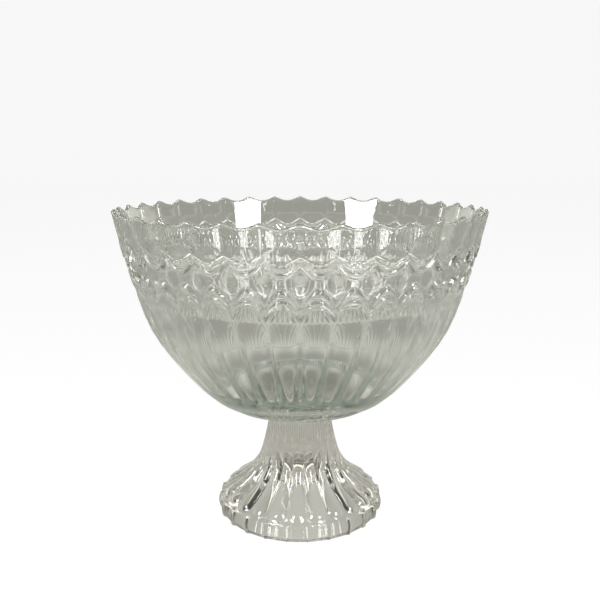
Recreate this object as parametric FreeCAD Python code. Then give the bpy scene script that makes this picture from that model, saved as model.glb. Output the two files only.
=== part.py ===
"""Footed punch bowl in clear pressed glass: a scalloped bowl bonded on a fluted pedestal.

Units are millimetres. The origin is the centre of the pedestal's underside, on the table, and +Z is up
the common axis of the bowl and the pedestal. Three sub-parts are written: bowl, bond_film, pedestal.
"""

import FreeCAD
import Part
import math
import os

from FreeCAD import Vector

# ---- driving dimensions ----
RIM_DIAMETER = 280.0  # across the outside of the rim
OVERALL_HEIGHT = 244.0  # table to the tips of the scallops
PEDESTAL_HEIGHT = 94.7  # table to the seat that carries the bowl
SEAT_RADIUS = 22.0  # flat top of the pedestal, where it is bonded
FOOT_RADIUS = 64.0  # widest point of the pedestal's foot, over its ridges
BOND_THICKNESS = 0.3  # cured adhesive between the two glass parts
BASE_RING_RADIUS = 58.0  # the ring that the bowl stood on before it was bonded
BASE_RING_HEIGHT = 2.5  # how far that ring stands below the recessed underside
LIP_THICKNESS = 4.2  # wall at the rim
RIM_SCALLOPS = 36  # scallops round the rim, with one panel under each
SCALLOP_DEPTH = 4.6  # tip to trough, on the outside edge of the rim
INNER_SCALLOP_DEPTH = 2.4  # tip to trough, on the inside edge
TIP_LAND = 0.5  # degrees left between two scallops, the blunt tip
PANEL_LAND = 0.4  # degrees left between two panels, the ridge
FLUTE_LAND = 1.6  # degrees left between two inside flutes, a wider flat ridge
INNER_FLUTES = 36  # long flutes on the lower half of the bowl's inside
FOOT_FLUTES = 24  # flutes round the pedestal
FOOT_TURN = 5.5  # degrees that the pedestal's ridges stand round from the bowl's
RING_FLAT_WIDTH = 5.0  # flat bearing width under both rings

# ---- worked out from them ----
RIM_RADIUS = RIM_DIAMETER / 2
UNDERSIDE_Z = PEDESTAL_HEIGHT + BOND_THICKNESS
BASE_Z = UNDERSIDE_Z - BASE_RING_HEIGHT
SECTOR = 360.0 / RIM_SCALLOPS

UP = Vector(0, 0, 1)
AXIS_FOOT = Vector(0, 0, 0)


def curve(points):
    """A smooth curve through (radius, height) points, in the XZ plane."""
    spline = Part.BSplineCurve()
    spline.interpolate([Vector(r, 0, z) for r, z in points])
    return spline.toShape()


def line(start, end):
    return Part.LineSegment(Vector(start[0], 0, start[1]), Vector(end[0], 0, end[1])).toShape()


def arc(start, middle, end):
    """A circular arc through three (radius, height) points."""
    return Part.Arc(*[Vector(r, 0, z) for r, z in (start, middle, end)]).toShape()


def turned(edges):
    """The solid that a closed outline of edges in the XZ plane makes when it turns about the Z axis."""
    outline = Part.Wire(Part.__sortEdges__(edges))
    return Part.Face(outline).revolve(AXIS_FOOT, UP, 360)


def round_the_axis(shape, count):
    """A list of copies of a shape about the Z axis, the first one half a step round from X."""
    copies = []
    for i in range(count):
        copy = shape.copy()
        copy.rotate(AXIS_FOOT, UP, 360.0 * (i + 0.5) / count)
        copies.append(copy)
    return copies


# ---- bowl ----
def bowl_blank():
    """The bowl before the rim is scalloped: a wall that thickens from the lip down to a heavy base."""
    outer_rim = (RIM_RADIUS, OVERALL_HEIGHT - LIP_THICKNESS / 2)
    inner_rim = (RIM_RADIUS - LIP_THICKNESS, OVERALL_HEIGHT - LIP_THICKNESS / 2)
    lip_top = (RIM_RADIUS - LIP_THICKNESS / 2, OVERALL_HEIGHT)
    ring_outside = (BASE_RING_RADIUS, BASE_Z)
    ring_inside = (BASE_RING_RADIUS - RING_FLAT_WIDTH, BASE_Z)
    recess_edge = (ring_inside[0] - BASE_RING_HEIGHT, UNDERSIDE_Z)
    bottom_edge = (44.0, 105.0)
    outer_wall = [(72.0, 101.5), (98.5, 131.0), (117.0, 161.5), (130.0, 202.5)]
    outside = curve([ring_outside, *outer_wall, outer_rim])
    lower_wall = [(56.0, 105.6), (66.3, 109.1), (75.3, 116.0), (84.4, 124.6), (93.7, 134.7), (104.0, 147.6)]
    upper_wall = [(112.8, 163.1), (119.8, 183.2), (125.8, 203.6), (131.3, 223.6)]
    inside = curve([bottom_edge, *lower_wall, *upper_wall, inner_rim])
    return turned([
        line((0, UNDERSIDE_Z), recess_edge),
        line(recess_edge, ring_inside),
        line(ring_inside, ring_outside),
        outside,
        arc(outer_rim, lip_top, inner_rim),
        inside,
        line(bottom_edge, (0, bottom_edge[1])),
        line((0, bottom_edge[1]), (0, UNDERSIDE_Z)),
    ])


def within_sector(shape, land):
    """The part of a shape in one scallop's sector about the X axis, less a land between two sectors."""
    half_angle = math.radians((SECTOR - land) / 2)
    reach = 2 * RIM_RADIUS
    corners = [Vector(reach * math.cos(a), reach * math.sin(a), 0) for a in (-half_angle, half_angle)]
    triangle = Part.Face(Part.makePolygon([AXIS_FOOT, *corners, AXIS_FOOT]))
    return shape.common(triangle.extrude(UP * 2 * OVERALL_HEIGHT))


def scallop_cutters():
    """One cylinder for each trough of the rim, tipped down outwards so that it cuts the outside deeper."""
    half_chord = math.pi * RIM_RADIUS / RIM_SCALLOPS
    radius = (half_chord**2 + SCALLOP_DEPTH**2) / (2 * SCALLOP_DEPTH)
    outward = Vector(LIP_THICKNESS, 0, INNER_SCALLOP_DEPTH - SCALLOP_DEPTH).normalize()
    upward = Vector(-outward.z, 0, outward.x)
    outer_trough = Vector(RIM_RADIUS, 0, OVERALL_HEIGHT - SCALLOP_DEPTH)
    reach = 4 * LIP_THICKNESS
    start = outer_trough + upward * radius - outward * reach
    cutter = Part.makeCylinder(radius, 2 * reach, start, outward)
    return round_the_axis(within_sector(cutter, TIP_LAND), RIM_SCALLOPS)


def panel_cutters():
    """One shallow hollow under each scallop, round at its lower end, with a narrow ridge between two."""
    curvature = 90.0
    depth = 1.5
    lower_end_z = 232.0
    wall_slope = math.radians(14.0)
    along = Vector(math.sin(wall_slope), 0, math.cos(wall_slope))
    outward = Vector(math.cos(wall_slope), 0, -math.sin(wall_slope))
    wall_radius = RIM_RADIUS - (OVERALL_HEIGHT - lower_end_z) * math.tan(wall_slope)
    centre = Vector(wall_radius, 0, lower_end_z) + outward * (curvature - depth)
    hollow = Part.makeCylinder(curvature, 40.0, centre, along).fuse(Part.makeSphere(curvature, centre))
    return round_the_axis(within_sector(hollow, PANEL_LAND), RIM_SCALLOPS)


def flute_cutters():
    """Long round-ended cutters that follow the curve of the inside wall, one for each flute."""
    top, middle, bottom = (119.8, 183.2), (104.0, 147.6), (79.0, 119.3)
    cutter_radius = 12.0
    depth = 1.8
    wall = Part.Arc(*[Vector(r, 0, z) for r, z in (top, middle, bottom)]).toShape().Curve
    hub = wall.Center

    first, last = [Vector(r, 0, z) - hub for r, z in (top, bottom)]
    turn = math.degrees(first.getAngle(last))
    path_radius = wall.Radius - cutter_radius + depth
    start = hub + first.normalize() * path_radius
    tangent = Vector(0, 1, 0).cross(first)
    disc = Part.Face(Part.Wire(Part.makeCircle(cutter_radius, start, tangent)))
    groove = disc.revolve(hub, Vector(0, 1, 0), turn)
    end = Part.Vertex(start).revolve(hub, Vector(0, 1, 0), turn).Vertexes[-1].Point
    cutter = groove.multiFuse([Part.makeSphere(cutter_radius, start), Part.makeSphere(cutter_radius, end)])
    return round_the_axis(within_sector(cutter, FLUTE_LAND), INNER_FLUTES)


def bowl():
    return bowl_blank().cut(scallop_cutters()).cut(panel_cutters()).cut(flute_cutters())


# ---- bond film ----
def bond_film():
    """The disc of cured clear adhesive on the pedestal's seat."""
    return Part.makeCylinder(SEAT_RADIUS - 0.5, BOND_THICKNESS, Vector(0, 0, PEDESTAL_HEIGHT), UP)


# ---- pedestal ----
def fluted_section(height, corner_radius, depth):
    """A level closed outline of arcs that meet in corners: hollow, or bulging if depth is negative."""
    step = 2 * math.pi / FOOT_FLUTES
    middle_radius = corner_radius * math.cos(step / 2) - depth
    turn = math.radians(FOOT_TURN)

    def point(radius, angle):
        return Vector(radius * math.cos(angle), radius * math.sin(angle), height)

    arcs = []
    for i in range(FOOT_FLUTES):
        start = turn + i * step
        corners = point(corner_radius, start), point(corner_radius, start + step)
        middle = point(middle_radius, start + step / 2)
        arcs.append(Part.Arc(corners[0], middle, corners[1]).toShape())
    return Part.Wire(arcs)


def pedestal():
    """A solid fluted stem that flares into a hollow foot with an upright, panelled edge."""
    stem = [
        (PEDESTAL_HEIGHT, 22.6, 0.35),
        (80.0, 23.4, 0.4),
        (66.0, 25.4, 0.5),
        (52.0, 28.6, 0.6),
        (41.0, 33.0, 0.8),
        (32.0, 39.4, 1.1),
        (25.0, 47.0, 1.4),
        (19.5, 55.5, 1.4),
        (15.0, 61.2, 0.9),
    ]
    bulge = 1.3
    corner = FOOT_RADIUS / math.cos(math.pi / FOOT_FLUTES) - bulge
    edge = [(15.0, corner - 1.6, -bulge), (9.5, corner, -bulge), (4.0, corner - 0.6, -bulge)]
    tuck = [(4.0, corner - 0.6, -bulge), (0.0, corner - 3.4, -bulge)]
    blocks = [Part.makeLoft([fluted_section(*s) for s in part], True) for part in (stem, edge, tuck)]
    solid = blocks[0].multiFuse(blocks[1:])
    ring_inside = FOOT_RADIUS - 4.0 - RING_FLAT_WIDTH
    mouth_edge = (ring_inside + 0.4, -1.0)
    dome_edge = (19.5, 37.0)
    dome_top = (0, 46.5)
    rise = dome_top[1] - dome_edge[1]
    dome_radius = (dome_edge[0] ** 2 + rise**2) / (2 * rise)
    half_way = math.asin(dome_edge[0] / dome_radius) / 2
    drop = dome_radius * (1 - math.cos(half_way))
    dome_middle = (dome_radius * math.sin(half_way), dome_top[1] - drop)
    hollow = turned([
        line((0, mouth_edge[1]), mouth_edge),
        curve([mouth_edge, (ring_inside - 4.0, 9.0), (40.5, 18.0), (27.5, 29.5), dome_edge]),
        arc(dome_edge, dome_middle, dome_top),
        line(dome_top, (0, mouth_edge[1])),
    ])
    return solid.cut(hollow)


def write(name, shape):
    os.makedirs("parts", exist_ok=True)
    solids = shape.Solids
    body = solids[0] if len(solids) == 1 else Part.makeCompound(solids)
    body.exportStep("parts/" + name + ".step")
    box = body.BoundBox
    size = " x ".join("%.1f" % side for side in (box.XLength, box.YLength, box.ZLength))
    print(name, "valid", body.isValid(), "cm3 %.1f" % (body.Volume / 1000), "mm", size)


write("bowl", bowl())
write("bond_film", bond_film())
write("pedestal", pedestal())
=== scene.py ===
# %% [markdown]
# # A footed punch bowl in clear pressed glass
# The bowl is two pressed glass parts on one upright axis: a deep bowl with a scalloped rim and a belt of
# moulded ornament, and a fluted pedestal with a hollow foot. A thin clear bond holds them together.
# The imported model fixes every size. This script gives the two glass parts their pressed surface, and all
# three parts their materials.

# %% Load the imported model
import math

import bpy
import numpy as np
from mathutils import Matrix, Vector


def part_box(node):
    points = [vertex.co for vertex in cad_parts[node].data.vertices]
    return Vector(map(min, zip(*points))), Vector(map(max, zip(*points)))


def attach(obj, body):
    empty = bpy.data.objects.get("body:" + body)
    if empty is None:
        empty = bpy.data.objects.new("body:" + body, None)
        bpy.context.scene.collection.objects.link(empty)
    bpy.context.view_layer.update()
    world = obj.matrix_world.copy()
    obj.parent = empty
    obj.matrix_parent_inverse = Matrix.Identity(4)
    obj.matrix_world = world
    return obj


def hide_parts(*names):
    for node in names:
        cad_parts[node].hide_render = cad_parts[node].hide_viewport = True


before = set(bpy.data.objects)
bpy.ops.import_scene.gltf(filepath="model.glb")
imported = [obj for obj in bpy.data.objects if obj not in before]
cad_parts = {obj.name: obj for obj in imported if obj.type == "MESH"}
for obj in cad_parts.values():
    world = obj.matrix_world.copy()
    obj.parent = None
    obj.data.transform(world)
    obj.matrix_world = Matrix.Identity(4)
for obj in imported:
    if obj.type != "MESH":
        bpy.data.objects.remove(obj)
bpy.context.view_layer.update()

MM = 0.001
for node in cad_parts:
    low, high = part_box(node)
    print(node, "spans", [round((b - a) / MM, 1) for a, b in zip(low, high)], "mm")

# %% [markdown]
# ## The camera
# The bowl is seen from a little above its rim, from about two bowl widths away. The camera is made first.

# %% Camera
camera_data = bpy.data.cameras.new("camera")
camera = bpy.data.objects.new("camera", camera_data)
bpy.context.scene.collection.objects.link(camera)
bpy.context.scene.camera = camera
camera_data.lens = 45.4
camera_data.sensor_width = 36.0
camera_data.clip_start = 0.02
CAMERA_DISTANCE, CAMERA_HEIGHT = 0.5776, 0.2849  # metres from the axis and above the floor
LOOKS_DOWN = 11.09  # degrees
camera.location = (0, -CAMERA_DISTANCE, CAMERA_HEIGHT)
camera.rotation_euler = (math.radians(90 - LOOKS_DOWN), 0, 0)
print("the camera stands", CAMERA_DISTANCE, "m in front of the axis")

# %% [markdown]
# ## Driving sizes
# The rim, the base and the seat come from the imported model, in millimetres, so that the glass lands
# exactly where the model says. The two glass parts stay a hair clear of the bond film, because two
# surfaces in the same place confuse the light that passes through them.

# %% Driving sizes
SURFACE_GAP = 0.02  # mm between the film and each glass part
TINY = 1e-6  # mm, or a share, that counts as nothing


def node_box(node):
    """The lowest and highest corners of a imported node, in millimetres."""
    return [np.array(corner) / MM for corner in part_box(node)]


bowl_low, bowl_high = node_box("bowl")
film_low, film_high = node_box("bond_film")
foot_low, foot_high = node_box("pedestal")
rim_radius = min(bowl_high[0], bowl_high[1])
rim_top = bowl_high[2]
base_z = bowl_low[2]
underside_z = film_high[2] + SURFACE_GAP
seat_z = film_low[2] - SURFACE_GAP
foot_radius = min(foot_high[0], foot_high[1])
print("rim radius", round(rim_radius, 1), "rim", round(rim_top, 1), "underside", round(underside_z, 2))

# %% [markdown]
# ## How pressed glass is modelled here
# A mould presses the same ornament many times round the wall, so one narrow slice is modelled and then
# repeated about the axis. The slice starts as a flat grid. Its long side runs along the whole outline of
# the glass: out under the base, up the outside, over the lip, and down the inside. The bands that carry
# ornament are subdivided, so they get small faces and the plain walls keep large ones. Then the grid is
# bent to the outline and the ornament is pressed into it by a formula, which an extrude or a bevel
# couldn't do for such soft, crossing curves. A subdivided plane with sculpt brushes would also work, but
# it wouldn't repeat exactly.

# %% Helpers: smooth outlines
def smooth_through(points, steps=12):
    """Points on a smooth line through the given (radius, height) points, by the Catmull-Rom rule."""
    p = np.array(points, float)
    p = np.vstack([2 * p[0] - p[1], p, 2 * p[-1] - p[-2]])
    t = np.linspace(0, 1, steps, endpoint=False)[:, None]
    spans = []
    for a, b, c, d in zip(p, p[1:], p[2:], p[3:]):
        spans.append(b + 0.5 * t * (c - a + t * (2 * a - 5 * b + 4 * c - d + t * (3 * (b - c) + d - a))))
    return np.vstack(spans + [p[-2:-1]])


def part_of(line, z_from, z_to, steps=60):
    """The stretch of a wall line between two heights, where the height always grows or always falls."""
    order = np.argsort(line[:, 1])
    z = np.linspace(z_from, z_to, steps)
    return np.column_stack([np.interp(z, line[order, 1], line[order, 0]), z])


def outline_table(stretches):
    """Row number, radius and height along all stretches, with the rows of each stretch evenly spaced."""
    rows, points, start = [], [], 0
    for line, count, _ in stretches:
        line = np.array(line, float)
        step = np.hypot(*np.diff(line, axis=0).T)
        along = np.concatenate([[0], np.cumsum(step)]) / step.sum()
        rows.append(start + along * count)
        points.append(line)
        start += count
    return np.concatenate(rows), np.vstack(points)


# %% [markdown]
# An operator works on whatever is selected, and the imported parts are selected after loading. So everything
# is deselected before each step, and the mesh is read and written only in object mode.

# %% Helpers: selection and edit mode
def deselect_all():
    bpy.ops.object.select_all(action="DESELECT")


def make_active(piece):
    deselect_all()
    piece.select_set(True)
    bpy.context.view_layer.objects.active = piece


def edit_mode(on):
    bpy.ops.object.mode_set(mode="EDIT" if on else "OBJECT")


def read_vertices(piece):
    flat = np.empty(len(piece.data.vertices) * 3)
    piece.data.vertices.foreach_get("co", flat)
    return flat.reshape(-1, 3)


def write_vertices(piece, places):
    piece.data.vertices.foreach_set("co", places.ravel())
    piece.data.update()


# %% [markdown]
# A slice's outline is a list of stretches. Each has its line, its number of rows, and how many cuts refine
# every face in those rows. The grid is subdivided while it is still flat, when a row is easy to pick out.

# %% Helpers: a flat slice with small faces where the ornament is
def refine_rows(piece, y_from, y_to, cuts):
    """Subdivides the faces of a flat grid between two places along Y."""
    edit_mode(True)
    bpy.ops.mesh.select_all(action="DESELECT")
    bpy.ops.mesh.select_mode(type="FACE")
    edit_mode(False)
    for face in piece.data.polygons:
        face.select = y_from < face.center.y < y_to
    edit_mode(True)
    bpy.ops.mesh.subdivide(number_cuts=cuts)
    edit_mode(False)


def flat_slice(name, columns, stretches):
    """A grid, one unit wide, with one unit of length per row, whose ornamented rows are subdivided."""
    rows = sum(count for _, count, _ in stretches)
    deselect_all()
    bpy.ops.mesh.primitive_grid_add(x_subdivisions=columns, y_subdivisions=rows, size=1)
    piece = bpy.context.object
    piece.name = name
    start = 0
    for _, count, cuts in stretches:
        if cuts:
            refine_rows(piece, start / rows - 0.5, (start + count) / rows - 0.5, cuts)
        start += count
    places = read_vertices(piece)
    places[:, 1] = (places[:, 1] + 0.5) * rows
    write_vertices(piece, places)
    print(name, "slice has", len(piece.data.polygons), "faces")
    return piece


# %% [markdown]
# Bending puts each row at its place on the outline and turns each column round the axis. The ornament is
# pressed in at right angles to the outline, so a groove keeps its depth where the wall leans.

# %% Helpers: bend a slice to its outline and press the ornament in
def press_slice(piece, stretches, repeats, first_angle, ornament, lower_rim=None):
    """Bends a flat slice round the axis. ornament(across, side, row, radius, height) is the depth to press.

    side runs from -1 to 1 over the slice's width. across is 0 on its two long edges, where two repeats
    meet, and 1 along its middle.
    """
    table_rows, table = outline_table(stretches)
    flat = read_vertices(piece)
    side = flat[:, 0] * 2
    across = 1 - np.abs(side)
    row = flat[:, 1]
    radius = np.interp(row, table_rows, table[:, 0])
    height = np.interp(row, table_rows, table[:, 1])
    reach = 0.4  # rows, each way, over which the outline's direction is taken
    ahead = [np.interp(row + reach, table_rows, table[:, i]) for i in (0, 1)]
    behind = [np.interp(row - reach, table_rows, table[:, i]) for i in (0, 1)]
    along = np.array([ahead[0] - behind[0], ahead[1] - behind[1]])
    along /= np.maximum(np.hypot(*along), TINY)
    out_r, out_z = along[1], -along[0]
    depth = ornament(across, side, row, radius, height)
    angle = first_angle + side * math.pi / repeats
    pressed_r = radius - depth * out_r
    pressed_z = height - depth * out_z
    if lower_rim:
        pressed_r, pressed_z = lower_rim(across, row, pressed_r, pressed_z)
    pressed_r = np.where(radius < TINY, 0, pressed_r)
    places = np.column_stack([pressed_r * np.cos(angle), pressed_r * np.sin(angle), pressed_z])
    write_vertices(piece, places * MM)


# %% Helpers: repeat a slice round the axis
def repeat_round_axis(piece, repeats):
    """Repeats a slice about the Z axis and welds the copies into one closed skin."""
    bpy.ops.object.empty_add(rotation=(0, 0, 2 * math.pi / repeats))
    turner = bpy.context.object
    make_active(piece)
    array = piece.modifiers.new("round_the_axis", "ARRAY")
    array.count = repeats
    array.use_relative_offset = False
    array.use_object_offset = True
    array.offset_object = turner
    bpy.ops.object.modifier_apply(modifier=array.name)
    bpy.data.objects.remove(turner)
    edit_mode(True)
    bpy.ops.mesh.select_all(action="SELECT")
    bpy.ops.mesh.remove_doubles(threshold=0.01 * MM)
    bpy.ops.mesh.normals_make_consistent(inside=False)
    edit_mode(False)
    bpy.ops.object.shade_smooth()
    triangles = sum(len(face.vertices) - 2 for face in piece.data.polygons)
    print(piece.name, "has", triangles, "triangles")


# %% [markdown]
# ## The outline of the bowl
# The wall is about 4 mm thick at the lip and thickens downwards, as pressed glass does, because the
# plunger must taper to come out. The base is heavy, with a small ring that the bowl once stood on.

# %% Bowl outline
LIP = 4.2  # mm thick at the rim
REPEATS = 36
ORNAMENT_TOP = rim_top - 20.0
ORNAMENT_FOOT = rim_top - 64.5
FLUTE_TOP, SPOON_TOP, FLUTE_FOOT, INNER_FLOOR = 186.0, 128.0, 113.0, 105.0  # heights inside the bowl
INNER_FLOOR_RADIUS = 44.0

outer_wall = smooth_through([
    (57.9, base_z + 0.3),
    (63.2, base_z + 2.9),
    (72.9, 102.3),
    (81.1, 110.5),
    (89.7, 120.1),
    (98.5, 131.1),
    (108.4, 144.9),
    (117.0, 161.3),
    (123.8, 181.9),
    (130.0, 202.5),
    (135.6, 223.1),
    (rim_radius, rim_top - LIP / 2),
])
inner_wall = smooth_through([
    (INNER_FLOOR_RADIUS, INNER_FLOOR),
    (56.0, 105.6),
    (66.3, 109.1),
    (75.3, 116.0),
    (84.4, 124.6),
    (93.7, 134.7),
    (104.0, 147.6),
    (112.8, 163.1),
    (119.8, 183.2),
    (125.8, 203.6),
    (131.3, 223.6),
    (rim_radius - LIP, rim_top - LIP / 2),
])
turn = np.linspace(0, math.pi, 13)
lip_middle = np.array([rim_radius - LIP / 2, rim_top - LIP / 2])
lip = lip_middle + LIP / 2 * np.column_stack([np.cos(turn), np.sin(turn)])
ring = smooth_through([
    (49.6, underside_z),
    (51.6, base_z + 0.9),
    (53.6, base_z),
    (56.6, base_z),
    (57.9, base_z + 0.3),
])

bowl_stretches = [
    ([(0, underside_z), (30, underside_z), (49.6, underside_z)], 3, 0),
    (ring, 3, 1),
    (part_of(outer_wall, base_z + 0.3, ORNAMENT_FOOT), 9, 0),
    (part_of(outer_wall, ORNAMENT_FOOT, ORNAMENT_TOP), 13, 3),
    (part_of(outer_wall, ORNAMENT_TOP, rim_top - LIP / 2), 5, 1),
    (lip, 3, 1),
    (part_of(inner_wall, rim_top - LIP / 2, FLUTE_TOP), 4, 0),
    (part_of(inner_wall, FLUTE_TOP, SPOON_TOP), 6, 1),
    (part_of(inner_wall, SPOON_TOP, FLUTE_FOOT), 4, 2),
    (part_of(inner_wall, FLUTE_FOOT, INNER_FLOOR), 4, 0),
    ([(INNER_FLOOR_RADIUS, INNER_FLOOR), (20, INNER_FLOOR), (0, INNER_FLOOR)], 2, 0),
]
row_ends = np.cumsum([count for _, count, _ in bowl_stretches])
RING_ROWS = (row_ends[0], row_ends[1])
OUTSIDE_ROWS = (row_ends[1], row_ends[4])
LIP_ROWS = (row_ends[4], row_ends[5])
INSIDE_ROWS = (row_ends[5], row_ends[9])
print("the outline has", row_ends[-1], "rows")

# %% [markdown]
# ## The ornament of the bowl
# From the rim down, each of the 36 repeats has a hollow panel with a round lower end, three nested swags
# that hang from the ridge, a jewel and a small leaf, two nested arches that stand on the ridge, and a fan
# of fine ribs. Swags and arches are bands between two curves. A band is given a round back, so neighbours
# meet in a sharp groove, as they do where a mould was cut with a wheel. All places are millimetres below
# the rim's tips.

# %% Helpers: the shapes that the ornament is made of
def pillow(low, high, at, power):
    """1 along the middle of a band, 0 at its two edges and outside it."""
    share = (at - low) / np.maximum(high - low, TINY)
    return np.clip(4 * share * (1 - share), 0, 1) ** power


def fade_in(value, start, length):
    """0 up to the start, 1 from a length further on, and a straight rise between."""
    return np.clip((value - start) / length, 0, 1)


def soft(share):
    """The same rise from 0 to 1, with both ends eased."""
    return share * share * (3 - 2 * share)


def hanging(across, at_ridge, at_middle):
    """A curve that hangs like a swag from the ridge to its lowest point in the middle of a repeat."""
    return at_ridge + (at_middle - at_ridge) * np.sin(across * math.pi / 2)


def leaf(x, y, length, width, lean):
    """The round back of a small leaf, with x and y from its centre."""
    c, s = math.cos(lean), math.sin(lean)
    reach = ((x * c + y * s) / length) ** 2 + ((y * c - x * s) / width) ** 2
    return np.sqrt(np.clip(1 - reach, 0, 1))


# %% Panels under the rim
PANEL_DEPTH = 1.9
PANEL_STRAIGHT = 12.0  # the panel keeps its full depth down to here
PANEL_END = (20.5, 24.0)  # on the ridge, and in the middle of a repeat


def panel_depth(across, down):
    """A hollow panel that ends in a round spoon."""
    end = hanging(across, *PANEL_END)
    spoon = np.clip((down - PANEL_STRAIGHT) / (end - PANEL_STRAIGHT), 0, 1)
    return PANEL_DEPTH * (1 - (1 - across) ** 2) * (1 - spoon**2.5)


# %% Belt of swags, jewels and arches
GROUND = 3.0  # how far the ornament's ground lies below its highest points
ROUND_BACK = 0.6  # a lower power gives a flatter top and steeper sides
HIGHEST = 1.1  # the share of GROUND that the widest bands and the jewel rise
# each curve: its place on the ridge and in the middle of a repeat
SWAG_CURVES = ((20.8, 24.0), (21.8, 26.4), (23.4, 30.4), (26.5, 35.8))
ARCH_CURVES = ((55.4, 42.0), (56.6, 48.0), (57.8, 52.8))
JEWEL_PLACE, JEWEL_HALF_WIDTH, JEWEL_HALF_HEIGHT = 38.6, 5.4, 8.2
LEAF_FROM_RIDGE, LEAF_PLACE = 7.4, 31.6


def bands_between(curves, full_width, down):
    """The round backs of the bands between neighbouring curves. Narrow bands rise less."""
    raised = np.zeros_like(down)
    for upper, lower in zip(curves, curves[1:]):
        size = np.clip((lower - upper) / full_width, 0.4, HIGHEST)
        raised = np.maximum(raised, pillow(upper, lower, down, ROUND_BACK) * size)
    return raised


def jewel_back(from_ridge, down):
    edge = (from_ridge / JEWEL_HALF_WIDTH) ** 1.5 + (np.abs(down - JEWEL_PLACE) / JEWEL_HALF_HEIGHT) ** 1.5
    return np.clip(1 - edge, 0, 1) ** ROUND_BACK * HIGHEST


# %% Fans under the arches
FAN_DEPTH = 1.8
FAN_CENTRE = 45.5
FAN_FOOT = 63.0
FAN_RIBS = 30.0  # ribs in a full turn
STEP_SHARE = 0.25  # the share of GROUND that the wall steps in under the arches
STEP_FADE = (54.0, 10.0)  # where the step starts to fade out, and over what length


def fan_depth(from_middle, down, lowest_arch):
    """Ribs that spread from a point under the arches, over a shallow step that fades out downwards."""
    angle = np.arctan2(from_middle, down - FAN_CENTRE)
    ribs = 0.5 + 0.5 * np.cos(angle * FAN_RIBS)
    zone = fade_in(down, lowest_arch, 1.0) * fade_in(-down, -FAN_FOOT, 4.0)
    step = GROUND * STEP_SHARE * fade_in(down, lowest_arch, 1.5) * soft(1 - fade_in(down, *STEP_FADE))
    return step + FAN_DEPTH * ribs * zone


# %% The whole belt
def belt_depth(across, side, down, radius):
    """The depth of the swags, jewel, leaf, arches and fan."""
    from_ridge = across * radius * math.pi / REPEATS
    from_middle = np.abs(side) * radius * math.pi / REPEATS
    swags = [hanging(across, *ends) for ends in SWAG_CURVES]
    arches = [hanging(across, *ends) for ends in ARCH_CURVES]
    raised = np.maximum(bands_between(swags, 2.2, down), bands_between(arches, 2.5, down))
    raised = np.maximum(raised, jewel_back(from_ridge, down))
    x, y = from_ridge - LEAF_FROM_RIDGE, down - LEAF_PLACE
    raised = np.maximum(raised, leaf(x, y, length=4.4, width=1.7, lean=0.85))
    depth = np.where(down > arches[-1], fan_depth(from_middle, down, arches[-1]), GROUND * (1 - raised))
    return depth * fade_in(down, swags[0], 0.6)


print("the ornament is up to", GROUND, "mm deep, on", REPEATS, "repeats")


# %% [markdown]
# Lower down the outside is smooth, and the pattern goes on inside: 36 long flutes run down the inner wall
# and end in round spoon shapes above the thick base. The small ring under the base is knurled.

# %% Flutes inside the bowl, and the knurled ring
KNURL_DEPTH = 0.9


def flute(across, height, depth, ridge, end_z, end_rise):
    """A flute with a flat ridge beside it and a round lower end, as a ball-ended cutter leaves."""
    in_flute = fade_in(across, ridge, 1 - ridge)
    past_end = np.clip(1 - (height - end_z) / end_rise, 0, None)
    return depth * np.clip(1 - (1 - in_flute) ** 2 - past_end**2, 0, 1) ** 0.8


def inside_depth(across, height):
    full = flute(across, height, depth=2.3, ridge=0.16, end_z=115.0, end_rise=4.0)
    return full * fade_in(-height, -184.0, 16.0)


def knurl_depth(side):
    return KNURL_DEPTH * (0.5 - 0.5 * np.cos(side * 2 * math.pi))


# %% All ornament of the bowl, by the rows it is on
def lip_share(row):
    """0 outside the bowl, 1 inside it, and a rise over the lip between."""
    return fade_in(row, LIP_ROWS[0], LIP_ROWS[1] - LIP_ROWS[0])


def bowl_ornament(across, side, row, radius, height):
    down = rim_top - height
    on_wall = (row > OUTSIDE_ROWS[0]) & (row <= OUTSIDE_ROWS[1])
    on_lip = (row > LIP_ROWS[0]) & (row <= LIP_ROWS[1])
    inside = (row > INSIDE_ROWS[0]) & (row < INSIDE_ROWS[1])
    on_ring = (row > RING_ROWS[0] + 1) & (row < RING_ROWS[1])
    wall = panel_depth(across, down) + belt_depth(across, side, down, radius)
    share = lip_share(row)
    over_lip = panel_depth(across, 0 * down) * np.cos(share * math.pi) ** 2 * (share < 0.5)
    depth = np.where(on_wall, wall, 0)
    depth = np.where(on_lip, over_lip, depth)
    depth = np.where(inside, inside_depth(across, height), depth)
    return np.where(on_ring, knurl_depth(side), depth)


# %% [markdown]
# The rim is cut in 36 scallops: wide hollows that meet in small blunt tips, one on each ridge.

# %% Scalloped rim
SCALLOP = 4.6  # how deep a scallop is on the outside
INNER_SCALLOP = 2.4
BLUNT = 0.2  # the roundness of a tip, as a share of half a repeat
SCALLOP_REACH = 14.0  # how far below the lip the wall still follows the scallops
WALL_LEAN = 0.21  # how far the wall leans out for each millimetre of height


def lower_the_rim(across, row, radius, height):
    """Lowers the wall's upper end along its own lean, most in the middle of a repeat."""
    reach = (np.sqrt(across**2 + BLUNT**2) - BLUNT) / (math.sqrt(1 + BLUNT**2) - BLUNT)
    deepest = SCALLOP - (SCALLOP - INNER_SCALLOP) * lip_share(row)
    near_rim = soft(np.clip(1 - (rim_top - LIP - height) / SCALLOP_REACH, 0, 1))
    drop = deepest * (1 - (1 - reach) ** 2) * near_rim
    return radius - drop * WALL_LEAN, height - drop


# %% [markdown]
# The slice is eight faces wide before it is refined. It is turned by half a repeat, so that a ridge faces
# the camera.

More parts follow.
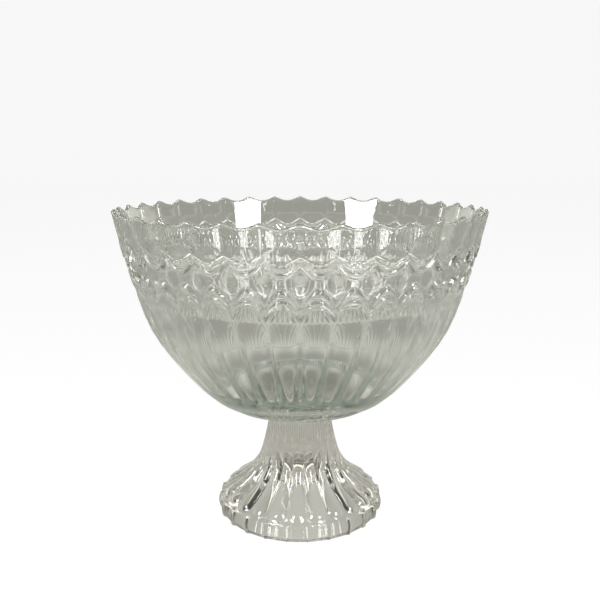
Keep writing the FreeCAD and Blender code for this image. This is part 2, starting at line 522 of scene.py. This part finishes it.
# %% Make the bowl
bowl = flat_slice("pressed_bowl", 8, bowl_stretches)
press_slice(bowl, bowl_stretches, REPEATS, math.pi / REPEATS, bowl_ornament, lower_the_rim)
repeat_round_axis(bowl, REPEATS)

# %% [markdown]
# ## The pedestal
# The pedestal is made in the same way from 24 repeats. Hollow flutes run down a solid stem, spread over
# the foot and end in round toes on a band of upright panels. The foot is hollow underneath, which keeps
# the glass about the same thickness all over, so that it cools without cracking.

# %% Pedestal outline
FLUTES = 24
HOLLOW_TOP = 46.5
stem = smooth_through([
    (22.3, seat_z - 0.5),
    (23.4, 80.3),
    (24.9, 69.3),
    (26.9, 59.7),
    (29.0, 51.5),
    (31.4, 44.6),
    (34.2, 39.1),
    (38.0, 33.6),
    (43.4, 28.1),
    (50.4, 22.7),
    (57.8, 18.0),
    (61.6, 15.2),
])
band = smooth_through([
    (61.6, 15.2),
    (62.9, 14.2),
    (63.7, 11.5),
    (foot_radius, 8.5),
    (63.5, 4.4),
    (62.3, 1.9),
    (60.6, 0.35),
    (59.6, 0),
])
hollow = smooth_through([
    (55.6, 0),
    (54.9, 0.4),
    (51.0, 9.0),
    (40.5, 18.0),
    (27.5, 29.5),
    (19.5, 37.0),
    (12.0, 43.4),
    (4.0, HOLLOW_TOP - 0.3),
])
pedestal_stretches = [
    ([(0, seat_z), (14, seat_z), (21.8, seat_z)], 3, 0),
    ([(21.8, seat_z), (22.15, seat_z - 0.15), (22.3, seat_z - 0.5)], 1, 0),
    (stem, 26, 1),
    (band, 10, 1),
    ([(59.6, 0), (55.6, 0)], 1, 0),
    (hollow, 16, 1),
    ([(4.0, HOLLOW_TOP - 0.3), (0, HOLLOW_TOP)], 1, 0),
]
foot_rows = np.cumsum([count for _, count, _ in pedestal_stretches])
print("the pedestal's outline has", foot_rows[-1], "rows")


# %% [markdown]
# The flutes get deeper as the stem widens, and end in round toes, like the flutes inside the bowl. On the
# upright band each panel is a soft pillow between two narrow grooves.

# %% Flutes and panels of the pedestal
FLUTE_HEIGHTS = [16, 22, 30, 45, 94]
FLUTE_DEPTHS = [2.8, 2.9, 2.4, 1.5, 0.9]
GROOVE_DEPTH = 0.9
BAND_TOP = 15.4


def stem_depth(across, height):
    depth = np.interp(height, FLUTE_HEIGHTS, FLUTE_DEPTHS)
    return flute(across, height, depth, ridge=0.1, end_z=15.6, end_rise=4.2)


def band_depth(across, height):
    """A wide shallow groove and a narrow one on each edge, fading at the band's top and bottom."""
    groove = GROOVE_DEPTH * (1 - across) ** 3 + GROOVE_DEPTH * np.clip(1 - across / 0.2, 0, 1)
    return groove * fade_in(-height, -BAND_TOP, 1.2) * fade_in(height, 0, 3.0)


def pedestal_ornament(across, side, row, radius, height):
    on_stem = (row > foot_rows[1]) & (row < foot_rows[2])
    on_band = (row >= foot_rows[2]) & (row < foot_rows[3])
    return np.where(on_stem, stem_depth(across, height), np.where(on_band, band_depth(across, height), 0))


# %% Make the pedestal
PEDESTAL_TURN = math.radians(5.5)  # the pedestal's ridges don't line up with the bowl's
pedestal = flat_slice("pressed_pedestal", 10, pedestal_stretches)
press_slice(pedestal, pedestal_stretches, FLUTES, PEDESTAL_TURN + math.pi / FLUTES, pedestal_ornament)
repeat_round_axis(pedestal, FLUTES)

# %% [markdown]
# ## Glass
# Pressed glass is clear but never perfect: the surface ripples where the hot glass met the cooler mould,
# and the polish varies a little. So one noise drives a faint bump and a finer one the roughness, both on
# Object coordinates.

# %% Helpers: ripple and polish
def noise(tree, scale, detail):
    """A noise that is fixed to the piece."""
    place = tree.nodes.new("ShaderNodeTexCoord")
    texture = tree.nodes.new("ShaderNodeTexNoise")
    texture.inputs["Scale"].default_value = scale
    texture.inputs["Detail"].default_value = detail
    tree.links.new(place.outputs["Object"], texture.inputs["Vector"])
    return texture.outputs["Fac"]


def add_ripple(tree, shader, strength):
    bump = tree.nodes.new("ShaderNodeBump")
    bump.inputs["Strength"].default_value = strength
    bump.inputs["Distance"].default_value = MM
    tree.links.new(noise(tree, 55, 2), bump.inputs["Height"])
    tree.links.new(bump.outputs["Normal"], shader.inputs["Normal"])


def add_polish(tree, shader, smoothest, roughest):
    spread = tree.nodes.new("ShaderNodeMapRange")
    spread.inputs["From Min"].default_value = 0.35
    spread.inputs["From Max"].default_value = 0.75
    spread.inputs["To Min"].default_value = smoothest
    spread.inputs["To Max"].default_value = roughest
    tree.links.new(noise(tree, 140, 3), spread.inputs["Value"])
    tree.links.new(spread.outputs["Result"], shader.inputs["Roughness"])


# %% [markdown]
# A Principled shader with full transmission bends and mirrors the light. A volume inside it takes some
# light along the way. In the bowl it takes a little more red and blue than green, so its thick base looks
# greener than its thin wall. Cycles gives glass a dark shadow, because its shadow rays don't bend, so for
# those rays alone the surface is made plainly transparent.

# %% Glass material
def glass(name, tint, inside_tint, density, ripple, polish):
    material = bpy.data.materials.new(name)
    material.use_nodes = True
    tree = material.node_tree
    tree.nodes.clear()
    add = tree.nodes.new
    link = tree.links.new
    shader = add("ShaderNodeBsdfPrincipled")
    shader.inputs["Base Color"].default_value = (*tint, 1)
    shader.inputs["IOR"].default_value = 1.5
    shader.inputs["Transmission Weight"].default_value = 1
    add_ripple(tree, shader, ripple)
    add_polish(tree, shader, *polish)
    volume = add("ShaderNodeVolumeAbsorption")
    volume.inputs["Color"].default_value = (*inside_tint, 1)
    volume.inputs["Density"].default_value = density
    rays = add("ShaderNodeLightPath")
    clear = add("ShaderNodeBsdfTransparent")
    clear.inputs["Color"].default_value = (0.9, 0.91, 0.9, 1)
    surface = add("ShaderNodeMixShader")
    link(rays.outputs["Is Shadow Ray"], surface.inputs["Fac"])
    link(shader.outputs["BSDF"], surface.inputs[1])
    link(clear.outputs["BSDF"], surface.inputs[2])
    output = add("ShaderNodeOutputMaterial")
    link(surface.outputs["Shader"], output.inputs["Surface"])
    link(volume.outputs["Volume"], output.inputs["Volume"])
    print(name, "takes light inside at density", density)
    return material


# %% [markdown]
# The bowl's glass is a little green and the pedestal's a little warmer, as when two batches were used. The
# bond is a clear resin that is slightly cloudier than glass.

# %% The three materials
bowl_glass = glass("bowl_glass", (0.97, 0.97, 0.96), (0.66, 0.74, 0.66), 8, 0.05, (0.0, 0.03))
pedestal_glass = glass("pedestal_glass", (0.97, 0.965, 0.955), (0.80, 0.78, 0.74), 8, 0.03, (0.0, 0.02))
bond_resin = glass("clear_bond", (0.93, 0.93, 0.92), (0.9, 0.9, 0.88), 5, 0.02, (0.05, 0.12))

bowl.data.materials.append(bowl_glass)
pedestal.data.materials.append(pedestal_glass)
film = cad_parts["bond_film"]
film.data.materials.clear()
film.data.materials.append(bond_resin)

# %% [markdown]
# ## Tying the pieces to the model
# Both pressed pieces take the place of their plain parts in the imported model, and stay on the one body. The
# bond film is already right, so it keeps its own mesh and only gets its material.

# %% Tie the pieces to the model
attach(bowl, "root")
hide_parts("bowl")
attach(pedestal, "root")
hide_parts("pedestal")

# %% [markdown]
# ## Floor and light
# Clear glass has no look of its own: it shows what is around it, bent and mirrored. On an all-white page it
# almost vanishes, so a studio puts the white page behind it and a quiet grey room around it. The same is
# done here. The camera itself sees a plain pale page. Every ray that has passed through the glass or
# glanced off it sees a grey floor and a grey room instead, with a bright band a little above the horizon.
# The band's light comes through the pressed edges, and draws the crisp white outlines. The grey floor glows
# by itself and takes no light from the lamps. Its tones are painted light and shade, which turn softly
# lighter and darker again with the distance from the bowl, and faster to the sides, and give the upright
# flutes their streaks. All this is set up in the stage only, so the glass materials stay the same in any
# other scene.

# %% Helpers: soft tones, and what only the camera sees
WARMTH = 0.90  # the share of blue in the room's greys


def blend_steps(tree, value, steps):
    """A soft colour ramp through (position, grey) steps, a little warmer than neutral grey."""
    ramp = tree.nodes.new("ShaderNodeValToRGB")
    ramp.color_ramp.interpolation = "EASE"
    elements = ramp.color_ramp.elements
    while len(elements) < len(steps):
        elements.new(0.5)
    for element, (position, grey) in zip(elements, steps):
        element.position = position
        element.color = (grey, grey, WARMTH * grey, 1)
    tree.links.new(value, ramp.inputs["Fac"])
    return ramp.outputs["Color"]


def for_the_camera(tree, camera_sees, others_see):
    """A shader that is one thing to the camera and another to every other ray."""
    rays = tree.nodes.new("ShaderNodeLightPath")
    either = tree.nodes.new("ShaderNodeMixShader")
    tree.links.new(rays.outputs["Is Camera Ray"], either.inputs["Fac"])
    tree.links.new(others_see, either.inputs[1])
    tree.links.new(camera_sees, either.inputs[2])
    return either.outputs["Shader"]


# %% Helpers: the page, and the floor that the glass shows
WHITE = (1.0, 1.0, 1.0, 1)
LIT_SHARE = 0.08  # how much of the page's brightness comes from the lamps
SIDE_SPEED = 3  # the floor's tones change this much faster to the sides
# metres from the axis, and the painted tone there: light and shade painted on a floor that glows by itself
PAINTED_FLOOR_STEPS = [(0.04, 0.56), (0.10, 0.48), (0.22, 0.38), (0.50, 0.66), (0.90, 0.36)]


def page_shader(tree):
    """Paper that shines evenly by itself, with a little real light on it."""
    glow = tree.nodes.new("ShaderNodeEmission")
    glow.inputs["Color"].default_value = WHITE
    matt = tree.nodes.new("ShaderNodeBsdfDiffuse")
    matt.inputs["Color"].default_value = WHITE
    page = tree.nodes.new("ShaderNodeMixShader")
    page.inputs["Fac"].default_value = LIT_SHARE
    tree.links.new(glow.outputs["Emission"], page.inputs[1])
    tree.links.new(matt.outputs["BSDF"], page.inputs[2])
    return page.outputs["Shader"]


def painted_floor_glow_shader(tree):
    """A self-lit floor with painted light and shade: its tone follows the distance from the axis, through the
    listed steps.
    """
    place = tree.nodes.new("ShaderNodeTexCoord")
    stretch = tree.nodes.new("ShaderNodeVectorMath")
    stretch.operation = "MULTIPLY"
    stretch.inputs[1].default_value = (SIDE_SPEED, 1, 1)
    distance = tree.nodes.new("ShaderNodeVectorMath")
    distance.operation = "LENGTH"
    # painted light and shade: the floor's tones come from this glow, not from the lamps
    around = tree.nodes.new("ShaderNodeEmission")
    tree.links.new(place.outputs["Object"], stretch.inputs[0])
    tree.links.new(stretch.outputs["Vector"], distance.inputs[0])
    tree.links.new(blend_steps(tree, distance.outputs["Value"], PAINTED_FLOOR_STEPS), around.inputs["Color"])
    return around.outputs["Emission"]


# %% Floor
deselect_all()
bpy.ops.mesh.primitive_plane_add(size=14, location=(0, 0, 0))
floor = bpy.context.object
floor.name = "floor"
paper = bpy.data.materials.new("paper")
paper.use_nodes = True
sheet = paper.node_tree
sheet.nodes.clear()
sheet_out = sheet.nodes.new("ShaderNodeOutputMaterial")
floor_shader = for_the_camera(sheet, page_shader(sheet), painted_floor_glow_shader(sheet))
sheet.links.new(floor_shader, sheet_out.inputs["Surface"])
floor.data.materials.append(paper)
print("floor tones seen through the glass:", PAINTED_FLOOR_STEPS)

# %% [markdown]
# Two soft lamps stand for windows behind the camera, one on each side. They mirror in the far wall of the
# bowl as two bright squares. Taller lamps would draw longer streaks down the wall.

# %% Lamps
LAMP_AIM = 0.15  # the height on the axis that the lamps face, in metres


def softbox(name, side, rise, distance, width, height, watts):
    """A flat lamp that faces the bowl. side and rise are its angles from the camera's side, in degrees."""
    data = bpy.data.lights.new(name, "AREA")
    data.shape = "RECTANGLE"
    data.size = width
    data.size_y = height
    data.energy = watts
    lamp = bpy.data.objects.new(name, data)
    bpy.context.scene.collection.objects.link(lamp)
    around, up = math.radians(side), math.radians(rise)
    level = distance * math.cos(up)
    middle = LAMP_AIM + distance * math.sin(up)
    lamp.location = (level * math.sin(around), -level * math.cos(around), middle)
    lamp.rotation_euler = (math.radians(90 - rise), 0, around)
    print(name, "stands", distance, "m away and", rise, "degrees up")


softbox("left_window", -48, 34, 2.0, 0.72, 0.8, 38)
softbox("right_window", 42, 34, 2.0, 0.66, 0.8, 35)

# %% [markdown]
# The room's tone depends only on how steeply a ray rises: grey at the horizon, the bright band above it,
# and a dark ceiling. The Standard view transform keeps the page's white as it is. A ray crosses four or
# more glass walls here and bounces many times inside the thick base, and every inner mirror bounce counts
# as glossy, so all bounce counts are raised. With the usual four, thick glass turns black.

# %% Room
world = bpy.data.worlds.new("room")
bpy.context.scene.world = world
world.use_nodes = True
room = world.node_tree
direction = room.nodes.new("ShaderNodeTexCoord")
height = room.nodes.new("ShaderNodeSeparateXYZ")
room.links.new(direction.outputs["Generated"], height.inputs[0])
ROOM_STEPS = [(0.0, 0.37), (0.06, 0.40), (0.11, 1.7), (0.19, 1.7), (0.25, 0.06)]  # sine of rise, tone
room_tone = blend_steps(room, height.outputs["Z"], ROOM_STEPS)
seen_room = room.nodes["Background"]
room.links.new(room_tone, seen_room.inputs["Color"])
backdrop = room.nodes.new("ShaderNodeBackground")
BACKDROP = 0.935  # as bright as the far floor, so that no horizon shows
backdrop.inputs["Color"].default_value = (BACKDROP, BACKDROP, BACKDROP, 1)
world_shader = for_the_camera(room, backdrop.outputs["Background"], seen_room.outputs["Background"])
room.links.new(world_shader, room.nodes["World Output"].inputs["Surface"])
print("room tones seen through the glass:", ROOM_STEPS)

# %% View and light bounces
BOUNCES = 32
bpy.context.scene.view_settings.view_transform = "Standard"
bpy.context.scene.cycles.max_bounces = BOUNCES
bpy.context.scene.cycles.glossy_bounces = BOUNCES
bpy.context.scene.cycles.transmission_bounces = BOUNCES
